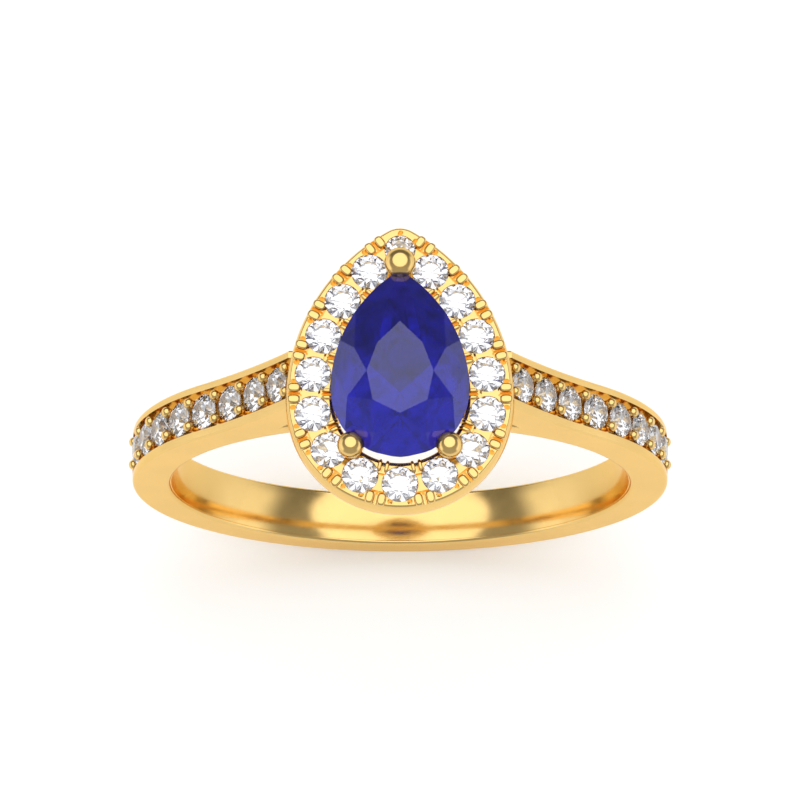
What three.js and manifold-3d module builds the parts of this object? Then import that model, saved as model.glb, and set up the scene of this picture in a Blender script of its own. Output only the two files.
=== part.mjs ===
// A pear-halo engagement ring, in millimetres. The finger hole runs along Y with its centre at the
// origin, the head stands up along +Z, and the point of the pear stone is towards +Y.
import * as THREE from "three";
import { mergeVertices } from "three/addons/utils/BufferGeometryUtils.js";
import { ConvexGeometry } from "three/addons/geometries/ConvexGeometry.js";
import Module from "manifold-3d";

// Fit: the gap between a stone, claw or peg and the metal it seats in.
const SEAT_GAP = 0.03;

// Band: a comfort-fit ring whose outer circle sits a little above the finger circle.
const FINGER_RADIUS = 8.675;
const BAND_WALL = 1.5;
const BAND_RISE = 0.09;
const COMFORT_RADIUS = 3.9;
const EDGE_ROUND = 0.1;
const RAIL_WIDTH = 0.3;
const BAND_STEPS = 28;

// Shoulders: the band's top line flares up to the underside of the halo, over an open gallery.
const FLARE_START_DEG = 43;
const FLARE_STEPS = 8;
const ARM_TUCK = 0.07;
const ARM_TIP_LENGTH = 0.95;
const BRIDGE_THICKNESS = 0.95;
const BRIDGE_WAIST_WIDTH = 1.4;
const GALLERY_HALF_LENGTH = 4.3;
const GALLERY_CURVE_STEPS = 5;

// Small round stones, all of one size, and how far each is set below the metal around it.
const MELEE_DIAMETER = 1.3;
const MELEE_CROWN = 0.2;
const MELEE_PAVILION = 0.56;
const MELEE_GIRDLE = 0.04;
const MELEE_TABLE_SHARE = 0.56;
const MELEE_STAR_RADIUS_SHARE = 0.78;
const MELEE_LOWER_SHARE = 0.24;

// Shoulder setting: one row of stones in a groove, held by pairs of beads.
const SHOULDER_STONES = 8;
const SHOULDER_STONE_SPACE = 0.21;
const GROOVE_SIDE_SPACE = 0.1;
const GROOVE_DEPTH = 0.3;
const GROOVE_END_LENGTH = 0.42;
const FIRST_BEAD_FROM_HALO = 0.32;
const SHOULDER_GIRDLE_DEPTH = 0.16;
const BEAD_RADIUS = 0.2;
const BEAD_ROOT_RADIUS = 0.15;
const BEAD_DEPTH = 0.04;
const BEAD_ROW_OFFSET = 0.45;

// Centre stone: a pear brilliant.
const PEAR_WIDTH = 5;
const PEAR_LENGTH = 7;
const PEAR_CENTRE_Y = 0.05;
const PEAR_CROWN = 1.0;
const PEAR_PAVILION = 2.1;
const PEAR_GIRDLE = 0.12;
const PEAR_TABLE_SHARE = 0.49;
const PEAR_RISE = 0.5;
const PEAR_STEPS = 40;

// Halo: a pear-shaped frame that carries a row of small stones round the centre stone.
const HEAD_RISE = 3.025;
const HALO_THICKNESS = 1.2;
const HALO_SIDE_SPACE = 0.06;
const HALO_POINT_SPACE = 0.27;
const HALO_HEEL_SPACE = 0.24;
const HALO_TOP_RIM = 0.11;
const HALO_BELLY = 0.17;
const HALO_BEVEL_HEIGHT = 0.4;
const HALO_INNER_RIM = 0.1;
const HALO_STONE_SPACE = 0.175;
const POINT_STONE_DIAMETER = 1.1;
const HALO_GIRDLE_DEPTH = 0.05;
const HALO_STEPS = 50;
const PRONG_LENGTH = 0.4;
const OUTER_PRONG_WIDTH = 0.32;
const INNER_PRONG_WIDTH = 0.16;
const PRONG_HEIGHT = 0.14;
const PRONG_ROOT = 0.1;
const PRONG_TAPER = 0.7;
const SLIT_WIDTH = 0.1;
const SLIT_DEPTH = 0.3;
const NOTCH_RADIUS = 0.09;
const NOTCH_DEPTH = 0.3;
const NOTCH_TURN_DEG = 29;
const AZURE_RADIUS = 0.32;

// Claws: three bent wires with domed heads, standing on a pegged base.
const HEEL_CLAW_DEG = 40.3;
const CLAW_STANDOFF = 0.25;
const CLAW_STEM_RADIUS = 0.28;
const CLAW_WAIST_INSET = 0.34;
const HEEL_CLAW_HEAD_RADIUS = 0.485;
const POINT_CLAW_HEAD_RADIUS = 0.57;
const CLAW_HEAD_HEIGHT = 0.46;
const CLAW_HEAD_DROP = 0.12;
const CLAW_FOOT_REACH = 0.68;
const BASE_RADIUS = 1.0;
const BASE_HEIGHT = 0.32;
const PEG_RADIUS = 0.45;

// Sizes that follow from the values above.
const meleeRadius = MELEE_DIAMETER / 2;
const grooveWidth = MELEE_DIAMETER + 2 * GROOVE_SIDE_SPACE;
const bandWidth = grooveWidth + 2 * RAIL_WIDTH;
const bandRadius = FINGER_RADIUS + BAND_WALL + BAND_RISE;
const haloUnder = FINGER_RADIUS + HEAD_RISE;
const haloTop = haloUnder + HALO_THICKNESS;
const haloGirdle = haloTop - HALO_GIRDLE_DEPTH;
const pearGirdle = haloTop + PEAR_RISE;
const bridgeTop = FINGER_RADIUS + BRIDGE_THICKNESS;
const baseBottom = bridgeTop + SEAT_GAP;
const baseTop = baseBottom + BASE_HEIGHT;

const GOLD = { color: 0xe3b45a, roughness: 0.15, metalness: 1 };
const DIAMOND = { color: 0xf2f4f8, roughness: 0.05, metalness: 0 };
const SAPPHIRE = { color: 0x2426a0, roughness: 0.05, metalness: 0 };

const wasm = await Module();
wasm.setup();

// A closed three.js geometry as a solid that can be joined and cut.
function solidOf(geometry) {
  const bare = geometry.clone();
  bare.deleteAttribute("normal");
  bare.deleteAttribute("uv");
  const merged = mergeVertices(bare, 1e-5);
  const triVerts = new Uint32Array(merged.index.array);
  const vertProperties = merged.attributes.position.array;
  return new wasm.Manifold(new wasm.Mesh({ numProp: 3, vertProperties, triVerts }));
}

function meshOf(name, solid, finish) {
  const made = solid.getMesh();
  const geometry = new THREE.BufferGeometry();
  geometry.setAttribute("position", new THREE.BufferAttribute(made.vertProperties, made.numProp));
  geometry.setIndex(new THREE.BufferAttribute(made.triVerts, 1));
  const mesh = new THREE.Mesh(geometry, new THREE.MeshStandardMaterial(finish));
  mesh.name = name;
  return mesh;
}

function joined(solids) {
  return solids.reduce((whole, piece) => whole.add(piece));
}

// A shape drawn in X and Z, extruded across Y and centred on it.
function acrossBand(points, width, round = 0) {
  const geometry = new THREE.ExtrudeGeometry(new THREE.Shape(points), {
    depth: width - 2 * round,
    bevelEnabled: round > 0,
    bevelThickness: round,
    bevelSize: round,
    bevelOffset: -round,
    bevelSegments: 2,
  });
  return geometry.rotateX(Math.PI / 2).translate(0, width / 2 - round, 0);
}

// A profile of radius and height turned about +Z.
function turned(profile, segments) {
  const points = profile.map(([radius, height]) => new THREE.Vector2(radius, height));
  return new THREE.LatheGeometry(points, segments).rotateX(Math.PI / 2);
}

// Evenly spaced points on a circle in a plane, from one angle to another, in radians.
function arcPoints(centre, radius, from, to, steps) {
  return Array.from({ length: steps + 1 }, (_, i) => {
    const angle = from + ((to - from) * i) / steps;
    return new THREE.Vector2(centre.x + radius * Math.cos(angle), centre.y + radius * Math.sin(angle));
  });
}

// A pear outline: a half circle at the heel and two arcs that meet at the point.
class Pear {
  constructor(width, length, heelY) {
    this.heel = width / 2;
    this.centreY = heelY + this.heel;
    this.rise = length - this.heel;
    this.wing = (this.heel ** 2 + this.rise ** 2) / (2 * this.heel);
    this.wingAngle = Math.asin(this.rise / this.wing);
    this.quarter = (this.heel * Math.PI) / 2;
    this.length = 2 * (this.quarter + this.wing * this.wingAngle);
  }

  // The place and outward direction at a distance round the outline from the middle of the heel.
  at(distance) {
    const along = THREE.MathUtils.euclideanModulo(distance, this.length);
    const left = along > this.length / 2;
    const half = left ? this.length - along : along;
    const onHeel = half <= this.quarter;
    const angle = onHeel ? half / this.heel - Math.PI / 2 : (half - this.quarter) / this.wing;
    const radius = onHeel ? this.heel : this.wing;
    const out = new THREE.Vector2(Math.cos(angle), Math.sin(angle));
    const point = new THREE.Vector2(this.heel - radius, this.centreY).addScaledVector(out, radius);
    if (left) {
      point.x = -point.x;
      out.x = -out.x;
    }
    return { point, out };
  }

  // The outline moved outwards, as points: outwards it turns round the point, inwards it stays sharp.
  offset(amount, steps) {
    const heel = this.heel + amount;
    const wing = this.wing + amount;
    const centre = new THREE.Vector2(this.heel - this.wing, this.centreY);
    const sharp = Math.acos((this.wing - this.heel) / wing);
    const end = amount > 0 ? this.wingAngle : sharp;
    const wingSteps = Math.round(steps * 0.3);
    const heelCentre = new THREE.Vector2(0, this.centreY);
    const right = arcPoints(heelCentre, heel, -Math.PI / 2, 0, Math.round(steps * 0.2));
    right.push(...arcPoints(centre, wing, 0, end, wingSteps).slice(1));
    if (amount > 0) {
      const tip = new THREE.Vector2(0, this.centreY + this.rise);
      right.push(...arcPoints(tip, amount, this.wingAngle, Math.PI / 2, 3).slice(1));
    }
    return mirrored(right);
  }
}

// The right half of an outline, from its lowest point to its highest, joined to its mirror image.
function mirrored(right) {
  const left = right.slice(1, -1).map((p) => new THREE.Vector2(-p.x, p.y));
  return [...right, ...left.reverse()];
}

// ---- Round stones ----

// A full-cut brilliant with its axis along Z and the middle of its girdle at the origin.
function brilliantGeometry(diameter) {
  const half = MELEE_GIRDLE / 2;
  const tableRadius = meleeRadius * MELEE_TABLE_SHARE;
  const starRadius = meleeRadius * MELEE_STAR_RADIUS_SHARE;
  const lowerRadius = meleeRadius * MELEE_LOWER_SHARE;
  const between = Math.cos(Math.PI / 8);
  const crownSlope = MELEE_CROWN / (meleeRadius - tableRadius);
  const starHeight = half + MELEE_CROWN - (starRadius * between - tableRadius) * crownSlope;
  const lowerHeight = -half - MELEE_PAVILION * (1 - (lowerRadius * between) / meleeRadius);
  const points = [new THREE.Vector3(0, 0, -half - MELEE_PAVILION)];
  const ring = (radius, height, count, turn) => {
    for (let i = 0; i < count; i += 1) {
      const angle = ((i + turn) * 2 * Math.PI) / count;
      points.push(new THREE.Vector3(radius * Math.cos(angle), radius * Math.sin(angle), height));
    }
  };
  ring(tableRadius, half + MELEE_CROWN, 8, 0);
  ring(starRadius, starHeight, 8, 0.5);
  ring(meleeRadius, half, 16, 0);
  ring(meleeRadius, -half, 16, 0);
  ring(lowerRadius, lowerHeight, 8, 0.5);
  const size = diameter / MELEE_DIAMETER;
  return new ConvexGeometry(points).scale(size, size, size);
}

// The space that a round stone needs in the metal: the stone itself, grown by the seat gap.
function seatGeometry(diameter) {
  const size = diameter / MELEE_DIAMETER;
  const half = (MELEE_GIRDLE * size) / 2 + SEAT_GAP;
  const radius = diameter / 2 + SEAT_GAP;
  const table = (diameter / 2) * MELEE_TABLE_SHARE + SEAT_GAP;
  const top = half + MELEE_CROWN * size;
  const bottom = -half - MELEE_PAVILION * size;
  return turned([[0, bottom], [radius, -half], [radius, half], [table, top], [0, top]], 12);
}

const brilliant = solidOf(brilliantGeometry(MELEE_DIAMETER));
const seat = solidOf(seatGeometry(MELEE_DIAMETER));
const pointBrilliant = solidOf(brilliantGeometry(POINT_STONE_DIAMETER));
const pointSeat = solidOf(seatGeometry(POINT_STONE_DIAMETER));

// A solid whose own +Z axis is turned to point along a direction, then moved to a place.
function placed(solid, place, up) {
  const turn = new THREE.Quaternion().setFromUnitVectors(new THREE.Vector3(0, 0, 1), up.clone().normalize());
  const matrix = new THREE.Matrix4().compose(place, turn, new THREE.Vector3(1, 1, 1));
  return solid.transform(matrix.toArray());
}

// ---- Halo and centre stone outlines ----

const pear = new Pear(PEAR_WIDTH, PEAR_LENGTH, PEAR_CENTRE_Y - PEAR_LENGTH / 2);
const rowWidth = PEAR_WIDTH + 2 * (meleeRadius + HALO_SIDE_SPACE);
const rowLength = PEAR_LENGTH + MELEE_DIAMETER + HALO_POINT_SPACE + HALO_HEEL_SPACE;
const rowHeelY = PEAR_CENTRE_Y - PEAR_LENGTH / 2 - meleeRadius - HALO_HEEL_SPACE;
const row = new Pear(rowWidth, rowLength, rowHeelY);
const filledLength = row.length + MELEE_DIAMETER - POINT_STONE_DIAMETER;
const haloStones = 2 * Math.round(filledLength / (2 * (MELEE_DIAMETER + HALO_STONE_SPACE)));
const haloPitch = filledLength / haloStones;
const pointStone = haloStones / 2;
const topOffset = meleeRadius + HALO_TOP_RIM;
const haloHalfWidth = row.heel + topOffset + HALO_BELLY;

// ---- Centre stone ----

// Cuts a solid with a flat plane through three points, and keeps the side that holds the inside point.
function cutFlat(solid, a, b, c, inside) {
  const plane = new THREE.Plane().setFromCoplanarPoints(a, b, c);
  if (plane.distanceToPoint(inside) > 0) plane.negate();
  const size = 4 * PEAR_LENGTH;
  const waste = new THREE.BoxGeometry(size, size, size).translate(0, 0, size / 2);
  return solid.subtract(placed(solidOf(waste), a, plane.normal));
}

function pearStone() {
  const half = PEAR_GIRDLE / 2;
  const heart = new THREE.Vector2(0, pear.centreY + PEAR_RISE / 4);
  const blankDepth = PEAR_CROWN + PEAR_PAVILION + PEAR_GIRDLE;
  const outline = new THREE.Shape(pear.offset(0, PEAR_STEPS));
  const blank = new THREE.ExtrudeGeometry(outline, { depth: blankDepth, bevelEnabled: false });
  let stone = solidOf(blank.translate(0, 0, pearGirdle - half - PEAR_PAVILION));
  const inside = new THREE.Vector3(heart.x, heart.y, pearGirdle);
  const culet = new THREE.Vector3(heart.x, heart.y, pearGirdle - half - PEAR_PAVILION);
  const eighth = pear.length / 8;
  const edge = (i, height) => {
    const { point } = pear.at(i * eighth);
    return new THREE.Vector3(point.x, point.y, pearGirdle + height);
  };
  const tableCorner = (i) => {
    const { point } = pear.at(i * eighth);
    const corner = heart.clone().lerp(point, PEAR_TABLE_SHARE);
    return new THREE.Vector3(corner.x, corner.y, pearGirdle + half + PEAR_CROWN);
  };
  const beside = (i, height) => {
    const { out } = pear.at(i * eighth);
    const across = i === 4 ? new THREE.Vector3(1, 0, 0) : new THREE.Vector3(-out.y, out.x, 0);
    return edge(i, height).add(across);
  };
  for (let i = 0; i < 8; i += 1) {
    stone = cutFlat(stone, edge(i, half), beside(i, half), tableCorner(i), inside);
    stone = cutFlat(stone, edge(i, -half), beside(i, -half), culet, inside);
    const starFoot = edge(i + 0.5, half).lerp(inside.clone().setZ(pearGirdle + half), 0.22);
    starFoot.z += PEAR_CROWN * 0.42;
    stone = cutFlat(stone, tableCorner(i), tableCorner(i + 1), starFoot, inside);
  }
  return stone;
}

// ---- Shank ----

const bandCentre = new THREE.Vector2(0, BAND_RISE);
const flareAngle = THREE.MathUtils.degToRad(FLARE_START_DEG);
const flareOut = new THREE.Vector2(Math.cos(flareAngle), Math.sin(flareAngle));
const flareStart = bandCentre.clone().addScaledVector(flareOut, bandRadius);
const armTop = new THREE.Vector2(haloHalfWidth - ARM_TUCK, haloUnder - SEAT_GAP);
const flareChord = armTop.clone().sub(flareStart);
const flareRadius = flareChord.lengthSq() / (2 * flareChord.dot(flareOut));
const flareCentre = flareStart.clone().addScaledVector(flareOut, flareRadius);
const flareFrom = flareAngle + Math.PI;
const flareTurn = 2 * Math.asin(flareChord.length() / (2 * flareRadius));
const flareLength = flareRadius * flareTurn;

// The place and outward direction on the right shoulder's top line, by distance down from the halo.
function shoulderAt(distance) {
  const onFlare = distance < flareLength;
  const angle = onFlare
    ? flareFrom - (flareLength - distance) / flareRadius
    : flareAngle - (distance - flareLength) / bandRadius;
  const ray = new THREE.Vector2(Math.cos(angle), Math.sin(angle));
  const out = onFlare ? ray.clone().negate() : ray;
  const centre = onFlare ? flareCentre : bandCentre;
  const point = centre.clone().addScaledVector(ray, onFlare ? flareRadius : bandRadius);
  return { point, out };
}

// The same place as a point in space, sunk below the metal, on the right (+1) or left (-1) shoulder.
function shoulderPlace(distance, depth, across, side) {
  const { point, out } = shoulderAt(distance);
  const sunk = point.clone().addScaledVector(out, -depth);
  return {
    place: new THREE.Vector3(side * sunk.x, across, sunk.y),
    up: new THREE.Vector3(side * out.x, 0, out.y),
  };
}

function shankOutline() {
  const right = arcPoints(bandCentre, bandRadius, -Math.PI / 2, flareAngle, BAND_STEPS);
  right.push(...arcPoints(flareCentre, flareRadius, flareFrom, flareFrom - flareTurn, FLARE_STEPS).slice(1));
  const tip = new THREE.Vector2(armTop.x - ARM_TIP_LENGTH, armTop.y);
  const bridgeAngle = Math.acos(GALLERY_HALF_LENGTH / bridgeTop);
  const corner = new THREE.Vector2(Math.cos(bridgeAngle), Math.sin(bridgeAngle)).multiplyScalar(bridgeTop);
  const bend = new THREE.Vector2(tip.x, (tip.y + corner.y) / 2);
  right.push(...new THREE.QuadraticBezierCurve(tip, bend, corner).getPoints(GALLERY_CURVE_STEPS));
  right.push(...arcPoints(new THREE.Vector2(), bridgeTop, bridgeAngle, Math.PI / 2, 6).slice(1));
  return mirrored(right);
}

// The finger hole: narrowest at its middle, and curving out to both faces.
function fingerHole() {
  const half = bandWidth / 2 + EDGE_ROUND;
  const profile = [new THREE.Vector2(0, -half)];
  const rows = 4;
  for (let i = 0; i <= rows; i += 1) {
    const y = -half + (2 * half * i) / rows;
    const flare = COMFORT_RADIUS - Math.sqrt(COMFORT_RADIUS ** 2 - y ** 2);
    profile.push(new THREE.Vector2(FINGER_RADIUS + flare, y));
  }
  profile.push(new THREE.Vector2(0, half));
  return new THREE.LatheGeometry(profile, 2 * BAND_STEPS + 12);
}

const beadPitch = MELEE_DIAMETER + SHOULDER_STONE_SPACE;
const lastBead = FIRST_BEAD_FROM_HALO + SHOULDER_STONES * beadPitch;

// The groove along one shoulder, open at the halo and ending just past its last beads.
function groove(side) {
  const end = lastBead + GROOVE_END_LENGTH;
  const steps = 24;
  const floor = [];
  const roof = [];
  for (let i = 0; i <= steps; i += 1) {
    const distance = (end * i) / steps;
    const { point, out } = shoulderAt(distance);
    floor.push(point.clone().addScaledVector(out, -GROOVE_DEPTH));
    roof.push(point.clone().addScaledVector(out, 1));
  }
  const { out } = shoulderAt(0);
  const beyond = new THREE.Vector2(-out.y, out.x);
  const points = [floor[0].clone().add(beyond), ...floor, ...roof.reverse()];
  points.push(roof.at(-1).clone().add(beyond));
  if (side < 0) points.reverse().forEach((p) => p.setX(-p.x));
  return acrossBand(points, grooveWidth);
}

// The bridge under the head narrows to a waist, cut from each face by a long round scoop.
function waistScoop(face) {
  const reach = armTop.x - ARM_TIP_LENGTH;
  const depth = (bandWidth - BRIDGE_WAIST_WIDTH) / 2;
  const radius = (reach ** 2 + depth ** 2) / (2 * depth);
  const scoop = new THREE.CylinderGeometry(radius, radius, BAND_WALL + BRIDGE_THICKNESS, 96);
  scoop.rotateX(Math.PI / 2);
  return scoop.translate(0, face * (BRIDGE_WAIST_WIDTH / 2 + radius), bridgeTop - BAND_WALL / 2);
}

function bead() {
  const drop = GROOVE_DEPTH;
  const shoulder = BEAD_RADIUS * Math.SQRT1_2;
  const root = [[0, -drop], [BEAD_ROOT_RADIUS, -drop], [BEAD_ROOT_RADIUS, -shoulder]];
  const dome = [[BEAD_RADIUS, 0], [shoulder, shoulder], [0, BEAD_RADIUS]];
  return turned([...root, ...dome], 6);
}

function shankSolid() {
  let shank = solidOf(acrossBand(shankOutline(), bandWidth, EDGE_ROUND));
  shank = shank.subtract(solidOf(fingerHole()));
  [-1, 1].forEach((face) => {
    shank = shank.subtract(solidOf(waistScoop(face)));
  });
  const holeRadius = PEG_RADIUS + SEAT_GAP;
  const pegHole = new THREE.CylinderGeometry(holeRadius, holeRadius, 3 * BRIDGE_THICKNESS, 20);
  shank = shank.subtract(solidOf(pegHole.rotateX(Math.PI / 2).translate(0, 0, bridgeTop)));
  const beadSolid = solidOf(bead());
  [-1, 1].forEach((side) => {
    shank = shank.subtract(solidOf(groove(side)));
    for (let i = 0; i <= SHOULDER_STONES; i += 1) {
      const distance = FIRST_BEAD_FROM_HALO + i * beadPitch;
      [-1, 1].forEach((face) => {
        const at = shoulderPlace(distance, BEAD_DEPTH, face * BEAD_ROW_OFFSET, side);
        shank = shank.add(placed(beadSolid, at.place, at.up));
      });
    }
    for (let i = 0; i < SHOULDER_STONES; i += 1) {
      const at = shoulderStoneAt(i, side);
      shank = shank.subtract(placed(seat, at.place, at.up));
    }
  });
  return shank;
}

function shoulderStoneAt(i, side) {
  return shoulderPlace(FIRST_BEAD_FROM_HALO + (i + 0.5) * beadPitch, SHOULDER_GIRDLE_DEPTH, 0, side);
}

// ---- Claws and their base ----

const UP = new THREE.Vector3(0, 0, 1);
const heelClawAngle = THREE.MathUtils.degToRad(HEEL_CLAW_DEG);
const heelX = Math.sin(heelClawAngle);
const heelY = -Math.cos(heelClawAngle);
const claws = [
  { name: "claw_point", out: new THREE.Vector2(0, 1), headRadius: POINT_CLAW_HEAD_RADIUS },
  { name: "claw_left", out: new THREE.Vector2(-heelX, heelY), headRadius: HEEL_CLAW_HEAD_RADIUS },
  { name: "claw_right", out: new THREE.Vector2(heelX, heelY), headRadius: HEEL_CLAW_HEAD_RADIUS },
];

// The claw's head stands just outside the girdle, over the arc centre or the point it belongs to.
function clawHead({ out }) {
  const reach = (out.y > 0 ? pear.rise : pear.heel) + CLAW_STANDOFF;
  return new THREE.Vector2(0, pear.centreY).addScaledVector(out, reach);
}

// One claw as a solid, grown all round by an amount.
function clawSolid(claw, grow) {
  const head = clawHead(claw);
  const waist = head.clone().addScaledVector(claw.out, -CLAW_WAIST_INSET);
  const foot = head.clone().setLength(CLAW_FOOT_REACH);
  const headZ = pearGirdle + CLAW_HEAD_DROP;
  const path = new THREE.CatmullRomCurve3([
    new THREE.Vector3(foot.x, foot.y, baseTop + SEAT_GAP - grow),
    new THREE.Vector3(waist.x, waist.y, haloGirdle),
    new THREE.Vector3(head.x, head.y, headZ),
  ]);
  const section = new THREE.Shape().absarc(0, 0, CLAW_STEM_RADIUS + grow, 0, 2 * Math.PI);
  const options = { steps: 8, curveSegments: 5, bevelEnabled: false, extrudePath: path };
  const stem = new THREE.ExtrudeGeometry(section, options);
  const radius = claw.headRadius + grow;
  const dome = new THREE.SphereGeometry(radius, 14, 7);
  dome.rotateX(Math.PI / 2).scale(1, 1, (CLAW_HEAD_HEIGHT + grow) / radius).translate(head.x, head.y, headZ);
  const belowBase = new THREE.BoxGeometry(PEAR_LENGTH, PEAR_LENGTH, BAND_WALL);
  belowBase.translate(0, 0, baseTop + SEAT_GAP - BAND_WALL / 2);
  return solidOf(stem).add(solidOf(dome)).subtract(solidOf(belowBase));
}

// The metal that each claw gives up for the stone: the stone, grown about its middle by the seat gap.
function grownPear(stone) {
  const grow = 1 + (2 * SEAT_GAP) / PEAR_WIDTH;
  const matrix = new THREE.Matrix4().makeTranslation(0, pear.centreY, pearGirdle);
  matrix.multiply(new THREE.Matrix4().makeScale(grow, grow, grow + SEAT_GAP / PEAR_CROWN));
  matrix.multiply(new THREE.Matrix4().makeTranslation(0, -pear.centreY, -pearGirdle));
  return stone.transform(matrix.toArray());
}

function peggedBase() {
  const pegBottom = bridgeTop - BRIDGE_THICKNESS + 3 * SEAT_GAP;
  const peg = [[0, pegBottom], [PEG_RADIUS, pegBottom], [PEG_RADIUS, baseBottom]];
  const edge = [[BASE_RADIUS - EDGE_ROUND, baseBottom], [BASE_RADIUS, baseBottom + EDGE_ROUND]];
  return turned([...peg, ...edge, [BASE_RADIUS, baseTop], [0, baseTop]], 20);
}

// ---- Halo frame ----

// How far round the row a halo stone lies, or a gap when i is half way between two stones.
function alongRow(i) {
  if (i === pointStone) return row.length / 2;
  return i < pointStone ? i * haloPitch : row.length - (haloStones - i) * haloPitch;
}

const haloPlaces = Array.from({ length: haloStones }, (_, i) => {
  const { point } = row.at(alongRow(i));
  return new THREE.Vector3(point.x, point.y, haloGirdle);
});

// Calls make(place, turn) for the middle of each gap between two halo stones.
function eachGap(make) {
  return Array.from({ length: haloStones }, (_, i) => {
    const { point, out } = row.at(alongRow(i + 0.5));
    return make(point, Math.atan2(out.y, out.x));
  }).flat();
}

// Two prongs on one side of the row in every gap, with room for a saw slit between the two.
function prongs(reach, width) {
  return eachGap((point, turn) => [-1, 1].map((hand) => {
    const prong = new THREE.CylinderGeometry(PRONG_TAPER / 2, 0.5, PRONG_HEIGHT + PRONG_ROOT, 6);
    prong.rotateX(Math.PI / 2).scale(PRONG_LENGTH, width, 1);
    prong.translate(reach, (hand * (width + SLIT_WIDTH)) / 2, 0).rotateZ(turn);
    return solidOf(prong.translate(point.x, point.y, haloTop + (PRONG_HEIGHT - PRONG_ROOT) / 2));
  }));
}

function slits(reach, length) {
  return eachGap((point, turn) => {
    const slit = new THREE.BoxGeometry(length, SLIT_WIDTH, SLIT_DEPTH + PRONG_HEIGHT);
    slit.translate(reach, 0, 0).rotateZ(turn);
    return [solidOf(slit.translate(point.x, point.y, haloTop + (PRONG_HEIGHT - SLIT_DEPTH) / 2))];
  });
}

// Two round notches in the rim beside every stone, between its outer prongs.
function rimNotches() {
  return haloPlaces.map((place, i) => [-1, 1].map((hand) => {
    const { out } = row.at(alongRow(i));
    const turn = Math.atan2(out.y, out.x) + hand * THREE.MathUtils.degToRad(NOTCH_TURN_DEG);
    const notch = new THREE.CylinderGeometry(NOTCH_RADIUS, NOTCH_RADIUS, NOTCH_DEPTH + PRONG_HEIGHT, 6);
    notch.rotateX(Math.PI / 2).translate(haloStoneRadius(i) + NOTCH_RADIUS / 2, 0, 0).rotateZ(turn);
    return solidOf(notch.translate(place.x, place.y, haloTop + (PRONG_HEIGHT - NOTCH_DEPTH) / 2));
  })).flat();
}

function haloSolid() {
  const outline = new THREE.Shape(row.offset(topOffset, HALO_STEPS));
  const body = new THREE.ExtrudeGeometry(outline, {
    depth: HALO_THICKNESS - 2 * HALO_BEVEL_HEIGHT,
    bevelThickness: HALO_BEVEL_HEIGHT,
    bevelSize: HALO_BELLY,
    bevelSegments: 2,
  });
  const hole = new THREE.Shape(row.offset(-meleeRadius - HALO_INNER_RIM, HALO_STEPS));
  const opening = new THREE.ExtrudeGeometry(hole, { depth: 2 * HALO_THICKNESS, bevelEnabled: false });
  let frame = solidOf(body.translate(0, 0, haloUnder + HALO_BEVEL_HEIGHT));
  frame = frame.subtract(solidOf(opening.translate(0, 0, haloUnder - HALO_THICKNESS / 2)));
  const outer = topOffset + HALO_BELLY / 2 - PRONG_LENGTH / 2;
  const inner = meleeRadius + HALO_INNER_RIM - PRONG_LENGTH / 2;
  frame = frame.add(joined([...prongs(outer, OUTER_PRONG_WIDTH), ...prongs(-inner, INNER_PRONG_WIDTH)]));
  frame = frame.subtract(joined([...slits(outer, PRONG_LENGTH), ...slits(-inner, 1.5 * PRONG_LENGTH)]));
  frame = frame.subtract(joined(rimNotches()));
  const azure = new THREE.CylinderGeometry(AZURE_RADIUS, AZURE_RADIUS, 2 * HALO_THICKNESS, 8);
  const drilled = solidOf(azure.rotateX(Math.PI / 2).translate(0, 0, -HALO_THICKNESS));
  haloPlaces.forEach((place, i) => {
    frame = frame.subtract(placed(haloSeat(i).add(drilled), place, UP));
  });
  return frame;
}

function haloStoneRadius(i) {
  return (i === pointStone ? POINT_STONE_DIAMETER : MELEE_DIAMETER) / 2;
}

function haloSeat(i) {
  return i === pointStone ? pointSeat : seat;
}

// ---- The assembled ring ----

const ring = new THREE.Group();
const shankGroup = new THREE.Group();
const headGroup = new THREE.Group();
ring.add(shankGroup, headGroup);

shankGroup.add(meshOf("shank", shankSolid(), GOLD));
for (const [label, side] of [["left", -1], ["right", 1]]) {
  for (let i = 0; i < SHOULDER_STONES; i += 1) {
    const at = shoulderStoneAt(i, side);
    const stone = placed(brilliant, at.place, at.up);
    shankGroup.add(meshOf(`shoulder_stone_${label}_${i + 1}`, stone, DIAMOND));
  }
}

const stone = pearStone();
headGroup.add(meshOf("centre_stone", stone, SAPPHIRE));
headGroup.add(meshOf("basket_base", solidOf(peggedBase()), GOLD));

const haloSeats = haloPlaces.map((place, i) => placed(haloSeat(i), place, UP));
const notches = joined([grownPear(stone), ...haloSeats]);
let halo = haloSolid();
for (const claw of claws) {
  halo = halo.subtract(clawSolid(claw, SEAT_GAP));
  headGroup.add(meshOf(claw.name, clawSolid(claw, 0).subtract(notches), GOLD));
}
headGroup.add(meshOf("halo_frame", halo, GOLD));
haloPlaces.forEach((place, i) => {
  const name = `halo_stone_${String(i + 1).padStart(2, "0")}`;
  const round = i === pointStone ? pointBrilliant : brilliant;
  headGroup.add(meshOf(name, placed(round, place, UP), DIAMOND));
});

export default ring;
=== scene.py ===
"""A pear-halo engagement ring in polished yellow gold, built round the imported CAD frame.

Shapes are worked out in millimetres in the frame's axes (+X right, +Y the way the pear points,
+Z up) and become metres when a mesh is made.
"""

import bmesh
import bpy
import math
from mathutils import Matrix, Vector


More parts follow.
